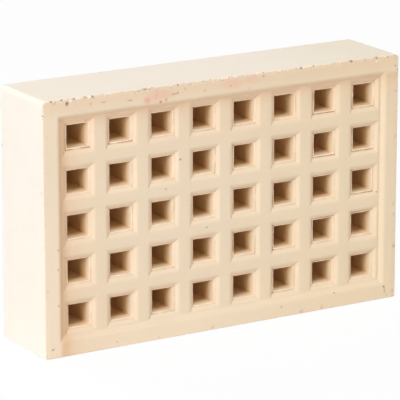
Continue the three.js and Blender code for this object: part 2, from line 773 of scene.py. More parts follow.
@dataclass(frozen=True)
class OpeningUnit:
    """One opening: its splay, the lip round its throat, its walls and its back rim."""

    form: BrickForm
    ruling: MeshRuling
    throat_start: float = 0.3
    mark_depth: float = 1.3
    lip_rise: float = 0.5  # share of the lip's width
    seam_reach: float = 0.8  # share of the lip's width
    # The splays' corner creases and their strengths: pressed in and darkened with painted shade,
    # most at the lower left, where the left facet shades the bottom one.
    mitres: tuple[tuple[Side, Side, float], ...] = (
        (Side.LEFT, Side.BOTTOM, 0.8),
        (Side.RIGHT, Side.TOP, 0.45),
        (Side.LEFT, Side.TOP, 0.15),
        (Side.RIGHT, Side.BOTTOM, 0.15),
    )
    mitre_full: float = 0.4  # share of the mitre's length
    mitre_limit: float = 2.5  # share of the splay's width
    back_pressed: float = 0.5  # share of the pressed sides' colour
    margin: float = 1e-4

    def rim_loop(self, size: float, centre: tuple[float, float] = (0.0, 0.0)) -> np.ndarray:
        """The loop of an opening's walls.

        Args:
            size: How much smaller the loop is than the throat on every side.
            centre: The middle of the opening.

        Returns:
            The loop's places along X and Z.
        """
        form, steps = self.form, self.ruling.throat_steps
        across = np.linspace(-0.5, 0.5, steps + 1) * (form.throat_width - 2 * size)
        up = np.linspace(-0.5, 0.5, steps + 1) * (form.throat_height - 2 * size)
        rim = grid_rim(steps + 1, steps + 1)
        return np.array([(centre[0] + across[i], centre[1] + up[j]) for i, j in rim])

    def back_loops(self) -> list[tuple[float, float]]:
        """The last loops of the walls, round the back rim.

        Returns:
            How deep each loop lies behind the throat and how much it is inset.
        """
        form = self.form
        rim = form.rim_radius
        depth = form.back - form.throat_y
        half = rim * (1 - math.cos(math.pi / 4))
        return [
            (depth - rim, form.wall_inset(depth)),
            (depth - half, form.wall_inset(depth) - half),
            (depth, form.wall_inset(depth) - rim),
        ]

    def _marks(self, across: np.ndarray, up: np.ndarray, fade: float) -> dict[str, Any]:
        """Masks the splay's corners and what lies round the throat.

        Args:
            across: Places along X from the middle of the opening.
            up: Places along Z.
            fade: What the masks are multiplied by inside the hole.

        Returns:
            The masks by the names of their attributes.
        """
        form = self.form
        half_width, half_height = form.mouth_width / 2, form.mouth_height / 2
        inside = {
            Side.LEFT: half_width + across,
            Side.RIGHT: half_width - across,
            Side.TOP: half_height - up,
            Side.BOTTOM: half_height + up,
        }
        nearest = np.minimum.reduce(list(inside.values()))
        foot = form.splay_width - form.lip_width
        marks = {
            side.attribute: fade * (reach < nearest + form.lip_width)
            for side, reach in inside.items()
        }
        throat = smooth_step(nearest, self.throat_start, form.splay_width)
        lip = smooth_step(nearest, foot, foot + form.lip_width * self.lip_rise)
        marks[Skin.THROAT.value] = throat * fade
        marks[Skin.LIP.value] = lip * fade
        rise, fall = foot - form.seam_width, foot + form.lip_width * self.seam_reach
        seam = smooth_step(nearest, rise, foot) * smooth_step(nearest, fall, foot)
        marks[Skin.SEAM.value] = seam
        marks[Skin.CREASE.value] = self._mitres(inside, nearest)
        return marks

    def _mitres(self, inside: dict[Side, np.ndarray], nearest: np.ndarray) -> np.ndarray:
        """Masks the creases where the facets meet in the splay's corners, which are pressed in
        and darkened with painted shade.

        Args:
            inside: How far each point lies in from each side of the mouth.
            nearest: How far it lies in from the nearest side.

        Returns:
            The mask.
        """
        form = self.form
        outer = smooth_step(nearest, form.mitre_length, form.mitre_length * self.mitre_full)
        mask = np.zeros(nearest.shape)
        for level, upright, strength in self.mitres:
            apart = np.maximum(inside[level], inside[upright]) - nearest
            near = inside[level] + inside[upright] < self.mitre_limit * form.splay_width
            mitre = smooth_step(apart, form.lip_width, 0.0) * near
            mask = np.maximum(mask, strength * mitre * outer)
        return mask

    def build(self) -> bpy.types.Object:
        """Draws the opening round the origin.

        Returns:
            An object that the grid tree copies.
        """
        form, draft = self.form, MeshDraft()
        across = self.ruling.opening_lines(form.throat_width)
        up = self.ruling.opening_lines(form.throat_height)
        x, z = (part.ravel() for part in np.meshgrid(across, up, indexing="ij"))
        y = form.front + form.panel_depth + form.splay_depth_at(abs(x), abs(z))
        beside = abs(x) > form.throat_width / 2 - self.margin
        above_or_below = abs(z) > form.throat_height / 2 - self.margin
        solid = beside | above_or_below
        marks = self._marks(x[solid], z[solid], 1.0)
        numbers = np.full(x.size, -1)
        numbers[solid] = draft.add(np.column_stack([x, y, z])[solid], **marks)
        numbers = numbers.reshape(len(across), len(up))
        for i in range(len(across) - 1):
            for j in range(len(up) - 1):
                if self._outside_throat(across[i : i + 2], up[j : j + 2]):
                    near, far = numbers[i], numbers[i + 1]
                    draft.faces.append((near[j], far[j], far[j + 1], near[j + 1]))

        first, lines = len(self.ruling.splay_stops) - 1, self.ruling.throat_steps + 1
        rim = grid_rim(lines, lines)
        self._walls(draft, np.array([numbers[first + i, first + j] for i, j in rim]))
        return draft.object("opening_unit")

    def _outside_throat(self, across: np.ndarray, up: np.ndarray) -> bool:
        """Whether a face between two pairs of lines lies outside the throat.

        Args:
            across: The pair of lines' places along X.
            up: The pair of lines' places along Z.

        Returns:
            True where the face is clay, and False where it is open.
        """
        form = self.form
        middle_x, middle_z = abs(across.mean()), abs(up.mean())
        return middle_x > form.throat_width / 2 or middle_z > form.throat_height / 2

    def _walls(self, draft: MeshDraft, loop: np.ndarray) -> None:
        """Draws the walls from the throat to the back rim.

        Args:
            draft: The mesh to draw on.
            loop: The numbers of the throat's vertices.
        """
        form = self.form
        depth = form.back - form.throat_y
        stops = [(stop, form.wall_inset(stop)) for stop in self.ruling.wall_stops]
        last = len(stops) + 1
        for place, (stop, inset) in enumerate(stops + self.back_loops()):
            ring = self.rim_loop(inset)
            fade = smooth_step(stop, self.mark_depth, 0.0)
            y = np.full(len(ring), form.throat_y + stop)
            inner = place < last
            marks = self._marks(ring[:, 0], ring[:, 1], fade)
            # How far down the bore each loop lies, which sets the bore's painted shade.
            marks[Skin.BORE.value] = stop / depth if inner else 0.0
            marks[Skin.PRESSED.value] = 0.0 if inner else self.back_pressed
            numbers = draft.add(np.column_stack([ring[:, 0], y, ring[:, 1]]), **marks)
            draft.bridge(loop, numbers)
            loop = numbers


@dataclass(frozen=True)
class Surround:
    """Everything but the openings: bars, bevel, border, arrises, sides and back."""

    form: BrickForm
    ruling: MeshRuling
    unit: OpeningUnit
    wear_reach: float = 3.2
    full_wear: float = 0.8
    side_wear_reach: float = 2.5
    back_wear: float = 0.6  # share of the front arrises' wear
    pressed_reach: float = 0.55  # share of the arris's radius
    back_pressed: float = 0.5  # share of the pressed sides' colour
    right_crease: float = 0.5
    left_crease: float = 0.15
    bed_crease: float = 0.25
    end_reach: float = 1.5
    full_end: float = 0.5
    guard_width: float = 0.6
    merge_distance: float = 1e-5

    def _rounded(self, across: np.ndarray, up: np.ndarray) -> tuple[np.ndarray, np.ndarray]:
        """Bends the square corners of the outline into round ones.

        Args:
            across: Places along X.
            up: Places along Z, from the middle of the face.

        Returns:
            The places after bending.
        """
        form, radius = self.form, self.form.corner_radius(up)
        start_x, start_z = form.length / 2 - radius, form.height / 2 - radius
        u = np.clip((abs(across) - start_x) / radius, 0.0, None)
        v = np.clip((abs(up) - start_z) / radius, 0.0, None)
        reach = np.maximum(u, v)
        share = np.minimum(u, v) / np.where(reach > 0, reach, 1.0)
        turn = np.where(u >= v, share, 2 - share) * math.pi / 4
        corner = (u > 0) & (v > 0)
        x = np.where(corner, start_x + radius * reach * np.cos(turn), abs(across))
        z = np.where(corner, start_z + radius * reach * np.sin(turn), abs(up))
        return np.copysign(x, across), np.copysign(z, up)

    def _outline(self, rim: np.ndarray, inset: float) -> tuple[np.ndarray, np.ndarray]:
        """Moves the outline's loop in, with its corners still round.

        Args:
            rim: The square outline's places along X and Z.
            inset: How far to move it in.

        Returns:
            The loop's places along X and along Z.
        """
        form = self.form
        half_x, half_z, radius = form.length / 2, form.height / 2, form.corner_radius(rim[:, 1])
        u = (abs(rim[:, 0]) - half_x + radius) / radius
        v = (abs(rim[:, 1]) - half_z + radius) / radius
        corner = (u > 0) & (v > 0)
        keep = 1 - inset / radius
        x = np.where(corner, half_x - radius + radius * u * keep, abs(rim[:, 0]))
        z = np.where(corner, half_z - radius + radius * v * keep, abs(rim[:, 1]))
        x, z = np.minimum(x, half_x - inset), np.minimum(z, half_z - inset)
        return self._rounded(np.copysign(x, rim[:, 0]), np.copysign(z, rim[:, 1]))

    def build(self, pits: Sequence["Pit"]) -> bpy.types.Object:
        """Draws the surround.

        Args:
            pits: Pits to press into the outer face.

        Returns:
            The object that the grid tree joins to the openings.
        """
        form, draft = self.form, MeshDraft()
        ruling, (shift_x, shift_z) = self.ruling, form.die_shift
        across = ruling.face_lines(
            form.length, shift_x, form.column_centres, form.throat_width
        )
        up = ruling.face_lines(form.height, shift_z, form.row_centres, form.throat_height)
        numbers = self._face(draft, across, up, pits)

        rim = grid_rim(len(across), len(up))
        loop = np.array([numbers[i, j] for i, j in rim])
        outline = np.array([(across[i], up[j]) for i, j in rim])
        loop = self._sides(draft, loop, outline)
        self._back(draft, loop)
        return draft.object("surround")

    def _face(
        self, draft: MeshDraft, across: np.ndarray, up: np.ndarray, pits: Sequence["Pit"]
    ) -> np.ndarray:
        """Draws the outer face without its openings.

        Args:
            draft: The mesh to draw on.
            across: The places of the lines across it.
            up: The places of the lines up it, from its middle.
            pits: Pits to press into it.

        Returns:
            The vertices' numbers, or -1 inside an opening, as a grid.
        """
        form = self.form
        x, z = (part.ravel() for part in np.meshgrid(across, up, indexing="ij"))
        y = form.front + form.face_depth(x, z)
        inset = np.minimum(form.length / 2 - abs(x), form.height / 2 - abs(z))
        bent_x, bent_z = self._rounded(x, z)
        places = np.column_stack([bent_x, y, bent_z + form.height / 2])
        pitted = np.zeros(len(places))
        for pit in pits:
            pitted = np.maximum(pitted, pit.press(places))

        quads = self._bar_faces(across, up)
        used = np.zeros(x.size, bool)
        used[quads.ravel()] = True
        numbers = np.full(x.size, -1)
        numbers[used] = draft.add(
            places[used],
            pressed=smooth_step(inset, form.arris_radius * self.pressed_reach, 0.0)[used],
            arris=smooth_step(inset, self.wear_reach, self.full_wear)[used],
            crease=self._foot_crease(x, z)[used],
            pitted=pitted[used],
        )
        draft.faces.extend(map(tuple, numbers[quads]))
        return numbers.reshape(len(across), len(up))

    def _foot_crease(self, across: np.ndarray, up: np.ndarray) -> np.ndarray:
        """Masks the crease at the foot of the panel's bevel, sharpest on the right, which is
        pressed in and darkened.

        Args:
            across: Distances along X from the middle of the face.
            up: Distances along Z from the middle of the face.

        Returns:
            The mask.
        """
        form = self.form
        shift_x, shift_z = form.die_shift
        reach = form.panel_inset(across, up) - form.border_width
        foot = form.bevel_width + form.crease_width / 3
        line = np.clip(1 - abs(reach - foot) / form.crease_width, 0.0, 1.0)
        along_end = form.length / 2 - abs(across - shift_x) < form.height / 2 - abs(up - shift_z)
        end = np.where(across > 0, self.right_crease, self.left_crease)
        return line * np.where(along_end, end, self.bed_crease)

    def _bar_faces(self, across: np.ndarray, up: np.ndarray) -> np.ndarray:
        """The faces of the outer face's grid that lie outside the openings' mouths.

        Args:
            across: The places of the lines across the face.
            up: The places of the lines up it, from its middle.

        Returns:
            The faces' corners, as places in the grid, one row each.
        """
        form = self.form

        def in_mouth(lines: np.ndarray, centres: np.ndarray, mouth: float) -> np.ndarray:
            """Whether each gap between two lines lies inside a mouth."""
            middles = (lines[:-1] + lines[1:]) / 2
            return (np.abs(middles[:, None] - centres) < mouth / 2).any(1)

        opened = np.logical_and.outer(
            in_mouth(across, form.column_centres, form.mouth_width),
            in_mouth(up, form.row_centres, form.mouth_height),
        )
        i, j = np.nonzero(~opened)
        row = len(up)
        return np.column_stack(
            [i * row + j, (i + 1) * row + j, (i + 1) * row + j + 1, i * row + j + 1]
        )

    def _sides(self, draft: MeshDraft, loop: np.ndarray, outline: np.ndarray) -> np.ndarray:
        """Draws the beds and ends and the back arris.

        Args:
            draft: The mesh to draw on.
            loop: The numbers of the outer face's rim.
            outline: The rim's places along X and Z before its corners are rounded.

        Returns:
            The numbers of the last loop, on the back face.
        """
        form, ruling = self.form, self.ruling
        start, stop = form.front + form.arris_radius, form.back - form.arris_radius
        reach = np.array(ruling.side_stops)
        places = np.concatenate([start + reach, [0.0], (stop - reach)[::-1], [stop]])
        rows = [(y, 0.0) for y in places]
        insets = ruling.arris_insets()[1:]
        rows += [(form.back - form.arris_depth(inset), inset) for inset in insets]
        rows.append((form.back, form.arris_radius + form.back_rim))
        for y, inset in rows:
            x, z = self._outline(outline, inset)
            ring = np.column_stack([x, np.full(len(x), y), z + form.height / 2])
            near_front = smooth_step(y - start, self.side_wear_reach, 0.0)
            near_back = self.back_wear * smooth_step(stop - y, self.side_wear_reach, 0.0)
            back = self.back_pressed * smooth_step(inset, 0.0, form.arris_radius)
            end = smooth_step(form.length / 2 - abs(x), self.end_reach, self.full_end)
            numbers = draft.add(
                ring, pressed=1.0 - back, end=end, arris=max(near_front, near_back)
            )
            draft.bridge(loop, numbers)
            loop = numbers
        return loop

    def _back(self, draft: MeshDraft, outer: np.ndarray) -> None:
        """Draws the flat back between the outer loop and the openings' rims.

        Args:
            draft: The mesh to draw on.
            outer: The numbers of the outer loop's vertices.
        """
        form = self.form
        drawn = np.concatenate(draft.points)
        flat = [drawn[outer][:, [0, 2]]]
        loops = [np.arange(len(outer))]
        inset = self.unit.back_loops()[-1][1]
        total = len(outer)
        holes = []
        for column in form.column_centres:
            for row in form.row_centres:
                centre = (column, row + form.height / 2)
                rim = self.unit.rim_loop(inset, centre)
                guard = self.unit.rim_loop(inset - self.guard_width, centre)
                for ring in (rim, guard):
                    flat.append(ring)
                    loops.append(np.arange(total, total + len(ring)))
                    total += len(ring)
                holes.append(centre)
        flat.append(self._back_filling(holes, inset))
        points = np.concatenate(flat)
        edges = [(int(a), int(b)) for loop in loops for a, b in zip(loop, np.roll(loop, -1))]
        corners = [Vector(point) for point in points]
        vertices, _, faces, *_ = delaunay_2d_cdt(corners, edges, [], 0, self.merge_distance)
        found = np.array([tuple(vertex) for vertex in vertices])
        places = np.column_stack([found[:, 0], np.full(len(found), form.back), found[:, 1]])
        own = draft.add(places, pressed=self.back_pressed)
        throat = np.array([form.throat_width, form.throat_height]) / 2 - inset
        for face in faces:
            middle = found[list(face)].mean(0)
            if not any((abs(middle - hole) < throat).all() for hole in holes):
                draft.faces.append(tuple(own[list(face)]))

    def _back_filling(self, holes: Sequence[tuple[float, float]], inset: float) -> np.ndarray:
        """Loose points between the openings that keep the back's faces even.

        Args:
            holes: The openings' middles along X and Z.
            inset: How much smaller the rims are than the throats on every side.

        Returns:
            The points' places along X and Z.
        """
        form, spacing = self.form, self.ruling.back_spacing
        edge = form.arris_radius + form.back_rim + spacing / 2
        half = form.length / 2
        x = np.linspace(edge - half, half - edge, round(form.length / spacing))
        z = np.linspace(edge, form.height - edge, round(form.height / spacing))
        points = np.array([(a, b) for a in x for b in z])
        throat = np.array([form.throat_width, form.throat_height]) / 2 - inset
        taken = throat + self.guard_width + spacing / 3
        clear = np.ones(len(points), bool)
        for hole in holes:
            clear &= ~(abs(points - hole) < taken).all(1)
        return points[clear]


@dataclass(frozen=True)
class Pit:
    """A small hollow where grit fell out or an arris was knocked."""

    across: float
    up: float
    radius: float
    depth: float = 0.5
    push: tuple[float, float, float] = (0.0, 1.0, 0.0)
    floor_share: float = 0.25

    def press(self, places: np.ndarray) -> np.ndarray:
        """Presses the pit into the face's points.

        Args:
            places: The points, which are moved in place.

        Returns:
            How far into the pit each point lies, from 0 to 1.
        """
        away = np.hypot(places[:, 0] - self.across, places[:, 2] - self.up)
        share = smooth_step(away, self.radius, self.radius * self.floor_share)
        places += share[:, None] * self.depth * np.array(self.push)
        return share


@dataclass(frozen=True)
class Burr:
    """Clay that the pins dragged up into a lip along one side of one opening."""

    column: int
    row: int
    side: Side
    strength: float


@dataclass
class OpeningGrid:
    """The grid of openings, copied from one unit and welded to the surround."""

    form: BrickForm
    burrs: Sequence[Burr]
    lip_base: float = 0.16
    lip_spread: float = 0.26
    ragged_spread: float = 0.5
    weld: float = 0.02
    seed: int = 4
    marks: dict[str, np.ndarray] = field(default_factory=dict)

    def _strengths(self) -> bpy.types.Object:
        """Draws what the pins left at each opening.

        Returns:
            An object with one loose vertex for each opening, which holds its values.
        """
        form = self.form
        count = form.columns * form.rows
        rng = np.random.default_rng(self.seed)
        for side in Side:
            self.marks[side.burr] = self.lip_base + self.lip_spread * rng.random(count)
        for burr in self.burrs:
            place = (burr.column - 1) * form.rows + (form.rows - burr.row)
            self.marks[burr.side.burr][place] = burr.strength
        self.marks[Skin.RAGGED.value] = 1 - self.ragged_spread * rng.random(count)
        draft = MeshDraft()
        draft.add(np.zeros((count, 3)), **self.marks)
        return draft.object("pin_marks")

    def build(
        self, surround: bpy.types.Object, unit: bpy.types.Object, clay: bpy.types.Material
    ) -> bpy.types.Object:
        """Sets the openings into the surround.

        Args:
            surround: The mesh round the openings.
            unit: One opening, round the origin.
            clay: The material that the result wears.

        Returns:
            The closed brick, before it is weathered.
        """
        form = self.form
        strengths = self._strengths()
        tree = GeometryTree("opening grid")
        write = tree.write
        opening = tree.size("Opening", "Object", unit)
        pins = tree.size("Pin marks", "Object", strengths)
        columns = tree.size("Columns", "Int", form.columns)
        rows = tree.size("Rows", "Int", form.rows)
        across = tree.length("Pitch across", float(np.diff(form.column_centres)[0]))
        up = tree.length("Pitch up", float(np.diff(form.row_centres)[0]))
        shift_x, shift_z = form.die_shift
        centre = (shift_x * MM, 0.0, (form.height / 2 + shift_z) * MM)
        middle = tree.size("Middle", "Vector", centre)
        weld = tree.length("Weld distance", self.weld)
        clay_socket = tree.size("Clay", "Material", clay)

        spans = {
            "Size X": write.times(write.minus(columns, 1.0), across),
            "Size Y": write.times(write.minus(rows, 1.0), up),
            "Vertices X": columns,
            "Vertices Y": rows,
        }
        grid = write.add("GeometryNodeMeshGrid", spans).outputs["Mesh"]
        upright = {"Geometry": grid, "Translation": middle, "Rotation": (math.pi / 2, 0.0, 0.0)}
        stood = write.add("GeometryNodeTransform", upright).outputs[0]
        copied = write.add("GeometryNodeObjectInfo", {"Object": opening}).outputs["Geometry"]
        feeds = {"Points": stood, "Instance": copied}
        placed = write.add("GeometryNodeInstanceOnPoints", feeds).outputs[0]
        marks = write.add("GeometryNodeObjectInfo", {"Object": pins}).outputs["Geometry"]
        index = write.add("GeometryNodeInputIndex").outputs[0]
        for name in self.marks:
            feeds = {"Geometry": marks, "Value": tree.attribute(name), "Index": index}
            value = write.add("GeometryNodeSampleIndex", feeds).outputs[0]
            placed = tree.store(placed, name, value, "INSTANCE")
        real = write.add("GeometryNodeRealizeInstances", {"Geometry": placed}).outputs[0]
        joined = write.add("GeometryNodeJoinGeometry")
        write.feed(joined.inputs[0], real)
        write.feed(joined.inputs[0], tree.geometry)
        feeds = {"Geometry": joined.outputs[0], "Distance": weld}
        welded = write.add("GeometryNodeMergeByDistance", feeds).outputs[0]
        tree.finish(welded, clay_socket)
        brick = tree.run(surround, "raw_brick")
        for helper in (unit, strengths):
            bpy.data.objects.remove(helper)
        face_outwards(brick.data)
        return brick


def face_outwards(mesh: bpy.types.Mesh) -> None:
    """Turns every face of a closed mesh outwards.

    Args:
        mesh: The mesh, which is changed in place.
    """
    work = bmesh.new()
    work.from_mesh(mesh)
    bmesh.ops.recalc_face_normals(work, faces=work.faces)
    work.to_mesh(mesh)
    work.free()


@dataclass(frozen=True)
class ClaySurface:
    """How pressing, firing and handling left the clay's surface."""

    form: BrickForm
    warp_height: float = 0.12
    warp_size: float = 45.0
    drag_height: float = 0.06
    drag_size: float = 5.0
    arris_wear: float = 0.1
    ragged_width: float = 0.5
    ragged_size: float = 1.7
    ragged_way: tuple[float, float, float] = (1.0, 0.4, 1.0)
    burr_height: float = 0.5
    groove_depth: float = 0.2
    burr_size: float = 2.4
    lip_patches: Range = (0.35, 0.6)
    lip_least: float = 0.45
    groove_scale: float = 0.35  # patches of the groove to one of the lip
    groove_patches: Range = (0.3, 0.6)
    groove_least: float = 0.4
    groove_gain: float = 1.5
    chip_depth: float = 0.45
    chip_size: float = 4.2
    chip_radius: float = 0.32  # share of the chips' spacing
    chip_share: float = 0.4
    chip_strength: float = 0.8
    seed: int = 11
    seed_step: tuple[float, float, float] = (0.37, 0.73, 0.19)
    sharp_angle: float = 50.0

    def _away(self, tree: GeometryTree, place: Any, normal: Any) -> Any:
        """The slow wander of the pressed faces and the finer drag of the clay.

        Args:
            tree: The tree, which gains the sizes.
            place: Where the surface lies.
            normal: Which way it looks.

        Returns:
            How far each point moves, as a vector.
        """
        write = tree.write
        warp = tree.length("Warp height", self.warp_height)
        warp_size = tree.length("Warp size", self.warp_size)
        drag = tree.length("Drag height", self.drag_height)
        drag_size = tree.length("Drag size", self.drag_size)
        slow = write.noise(place, write.over(1.0, warp_size), 1.0)
        fine = write.noise(place, write.over(1.0, drag_size), 3.0)
        wear = tree.length("Arris wear", self.arris_wear)
        worn = write.times(tree.attribute(Skin.ARRIS.value), wear)
        fall = write.plus(write.times(slow, warp), write.times(fine, write.plus(drag, worn)))
        return write.scaled(normal, write.times(fall, -1.0))

    def _ragged(self, tree: GeometryTree, place: Any) -> Any:
        """How far the throats' edges wander.

        Args:
            tree: The tree, which gains the sizes.
            place: Where the surface lies.

        Returns:
            How far each point moves, as a vector.
        """
        write = tree.write
        width = tree.length("Ragged width", self.ragged_width)
        size = tree.length("Ragged size", self.ragged_size)
        noise = write.noise(place, write.over(1.0, size), 2.0, "Color")
        centred = write.vector("SUBTRACT", noise, (0.5,) * 3)
        shake = write.vector("MULTIPLY", centred, self.ragged_way)
        mask = write.times(tree.attribute(Skin.THROAT.value), tree.attribute(Skin.RAGGED.value))
        return write.scaled(shake, write.times(mask, width))

    def _burrs(self, tree: GeometryTree, place: Any) -> tuple[Any, Any]:
        """The lips that stand round the throats and the grooves beside them.

        Args:
            tree: The tree, which gains the sizes.
            place: Where the surface lies.

        Returns:
            The share of a full lip and of a full groove.
        """
        write = tree.write
        size = tree.length("Burr size", self.burr_size)
        burr: Any = 0.0
        for side in Side:
            own = write.times(tree.attribute(side.attribute), tree.attribute(side.burr))
            burr = write.most(burr, own)
        patchy = write.noise(place, write.over(1.0, size), 2.0)
        slow = write.noise(place, write.over(self.groove_scale, size), 1.0)
        uneven = write.lifted(write.step(patchy, *self.lip_patches), self.lip_least)
        broken = write.lifted(write.step(slow, *self.groove_patches), self.groove_least)
        lip = write.times(tree.attribute(Skin.LIP.value), burr)
        torn = write.math("MINIMUM", 1.0, write.times(burr, self.groove_gain))
        groove = write.times(write.times(tree.attribute(Skin.SEAM.value), torn), broken)
        crease = write.times(tree.attribute(Skin.CREASE.value), broken)
        return write.times(lip, uneven), write.most(groove, crease)

    def _chips(self, tree: GeometryTree, place: Any, normal: Any) -> tuple[Any, Any]:
        """Small chips along the arrises.

        Args:
            tree: The tree, which gains the sizes.
            place: Where the surface lies.
            normal: Which way it looks.

        Returns:
            How far each point moves, as a vector, and the chips' mask.
        """
        write = tree.write
        depth = tree.length("Chip depth", self.chip_depth)
        size = tree.length("Chip size", self.chip_size)
        radius = tree.size("Chip radius", "Float", self.chip_radius)
        share = tree.size("Chip share", "Float", self.chip_share)
        feeds = {"Vector": place, "Scale": write.over(1.0, size)}
        cells = write.add("ShaderNodeTexVoronoi", feeds, voronoi_dimensions="3D").outputs
        hollow = write.step(cells["Distance"], radius, 0.0)
        chance = write.parts(cells["Color"])[0]
        there = write.times(write.math("LESS_THAN", chance, share), self.chip_strength)
        worn = write.times(there, tree.attribute(Skin.ARRIS.value))
        mask = write.times(hollow, worn)
        fall = write.times(mask, write.times(depth, -1.0))
        return write.scaled(normal, fall), mask

    def weather(
        self, raw: bpy.types.Object, name: str, clay: bpy.types.Material
    ) -> bpy.types.Object:
        """Works the surface over with Geometry Nodes.

        Args:
            raw: The closed brick with crisp faces.
            name: The finished piece's name.
            clay: Its material.

        Returns:
            The finished piece.
        """
        tree = GeometryTree("clay surface")
        write = tree.write
        seed = tree.size("Seed", "Int", self.seed)
        low_corner, high_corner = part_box(CAD_NODE)
        low = tree.size("Low corner", "Vector", tuple(low_corner))
        high = tree.size("High corner", "Vector", tuple(high_corner))
        clay_socket = tree.size("Clay", "Material", clay)
        here = write.add("GeometryNodeInputPosition").outputs[0]
        normal = write.add("GeometryNodeInputNormal").outputs[0]
        place = write.vector("ADD", here, write.scaled(self.seed_step, seed))

        chip, hollow = self._chips(tree, place, normal)
        crest, groove = self._burrs(tree, place)
        height = tree.length("Burr height", self.burr_height)
        depth = tree.length("Groove depth", self.groove_depth)
        rise = write.minus(write.times(crest, height), write.times(groove, depth))
        shift = write.vector("ADD", self._away(tree, place, normal), chip)
        shift = write.vector("ADD", shift, self._ragged(tree, place))
        shift = write.vector("ADD", shift, write.scaled((0.0, -1.0, 0.0), rise))
        moved = write.vector("ADD", here, shift)
        kept = write.vector("MAXIMUM", write.vector("MINIMUM", moved, high), low)
        # The pits' and chips' mask, which the finish fills with painted shade.
        pitted = write.most(hollow, tree.attribute(Skin.PITTED.value))
        stored = tree.store(tree.geometry, Skin.PITTED.value, pitted)
        stored = tree.store(stored, Skin.CREST.value, crest)
        stored = tree.store(stored, Skin.GROOVE.value, groove)
        feeds = {"Geometry": stored, "Position": kept}
        placed = write.add("GeometryNodeSetPosition", feeds).outputs[0]
        tree.finish(placed, clay_socket)
        piece = tree.run(raw, name)
        piece.data.shade_smooth()
        piece.data.set_sharp_from_angle(angle=math.radians(self.sharp_angle))
        return piece


# ---------------------------------------------------------------- the finish


class Stain(Enum):
    """The colours of the marks on the face."""

    PINK = "pink"
    BROWN = "brown"
    GRIT = "grit"
    PALE = "pale"


@dataclass(frozen=True)
class Spot:
    """A coloured mark on the brick, round or drawn out along X or Z."""

    stain: Stain
    across: float
    up: float
    radius: float
    strength: float = 1.0
    stretch: tuple[float, float] = (1.0, 1.0)


class EffectGroup:
    """A shader node group with named inputs, whose outputs are plain values."""

    def __init__(self, name: str) -> None:
        """Makes the empty group.

        Args:
            name: The group's name.
        """
        self.tree = bpy.data.node_groups.new(name, "ShaderNodeTree")
        self.write = TreeWriter(self.tree)
        self.inputs = self.write.add("NodeGroupInput")
        self.outputs = self.write.add("NodeGroupOutput")

    def take(self, name: str, kind: str = "Float", value: Any = None) -> Any:
        """Adds an input.

        Args:
            name: The input's name.
            kind: Float or Vector.
            value: What it is unless a material sets it.

        Returns:
            The input's socket inside the group.
        """
        item = self.tree.interface.new_socket(
            name=name, in_out="INPUT", socket_type=f"NodeSocket{kind}"
        )
        if value is not None:
            item.default_value = value
        return self.inputs.outputs[name]

    def give(self, name: str, value: Any) -> None:
        """Adds an output and feeds it.

        Args:
            name: The output's name.
            value: The socket that feeds it.
        """
        self.tree.interface.new_socket(
            name=name, in_out="OUTPUT", socket_type="NodeSocketFloat"
        )
        self.write.feed(self.outputs.inputs[name], value)

    def use(self, write: TreeWriter, **feeds: Feed) -> Any:
        """Places the group in a tree.

        Args:
            write: The writer of that tree.
            **feeds: Values or sockets for the inputs, with spaces as underscores.

        Returns:
            The outputs of the group's node.
        """
        node = write.add("ShaderNodeGroup", node_tree=self.tree)
        for name, value in feeds.items():
            write.feed(node.inputs[name.replace("_", " ")], value)
        return node.outputs


@dataclass(frozen=True)
class SandyGrain:
    """Fine sand and slow mottling in the clay's colour and surface."""

    grain_size: float = 1.1
    mottle_size: float = 14.0
    grain: float = 0.05
    mottle: float = 0.035

    def group(self) -> EffectGroup:
        """Makes the group.

        Returns:
            The group, whose outputs are a brightness near 1 and a height.
        """
        group = EffectGroup("sandy grain")
        write = group.write
        place = group.take("Place", "Vector")
        grain_size = group.take("Grain size", value=self.grain_size * MM)
        mottle_size = group.take("Mottle size", value=self.mottle_size * MM)
        grain = group.take("Grain", value=self.grain)
        mottle = group.take("Mottle", value=self.mottle)
        fine = write.noise(place, write.over(1.0, grain_size), 3.0)
        slow = write.noise(place, write.over(1.0, mottle_size), 3.0)
        grainy = write.times(write.minus(fine, 0.5), grain)
        mottled = write.times(write.minus(slow, 0.5), mottle)
        total = write.plus(1.0, write.plus(grainy, mottled))
        group.give("Brightness", total)
        group.give("Height", fine)
        return group


@dataclass(frozen=True)
class ArrisFlecks:
    """Small broken places along the arrises: painted shade in the pits where grit fell out, and
    pale flecks where it broke, partly paler clay and partly painted highlight.
    """

    form: BrickForm
    size: float = 1.2
    reach: float = 20.0
    lower_share: float = 0.25
    wear: Range = (0.5, 1.0)
    pit_shade: Range = (0.65, 0.72)
    pale: Range = (0.59, 0.68)

    def group(self) -> EffectGroup:
        """Makes the group.

        Returns:
            The group, whose outputs are the masks of the pits' painted shade and of the pale
            flecks.
        """
        group = EffectGroup("arris flecks")
        write = group.write
        place = group.take("Place", "Vector")
        near = group.take("Arris")
        size = group.take("Fleck size", value=self.size * MM)
        height = self.form.height * MM
        up = write.parts(place)[2]
        upper = write.step(up, height - self.reach * MM, height)
        share = write.lifted(upper, self.lower_share)
        along = write.times(write.step(near, *self.wear), share)
        noise = write.noise(place, write.over(1.0, size), 1.0, "Color")
        first, second, _ = write.parts(noise)
        group.give("Pit shade", write.times(write.step(first, *self.pit_shade), along))
        group.give("Pale", write.times(write.step(second, *self.pale), along))
        return group


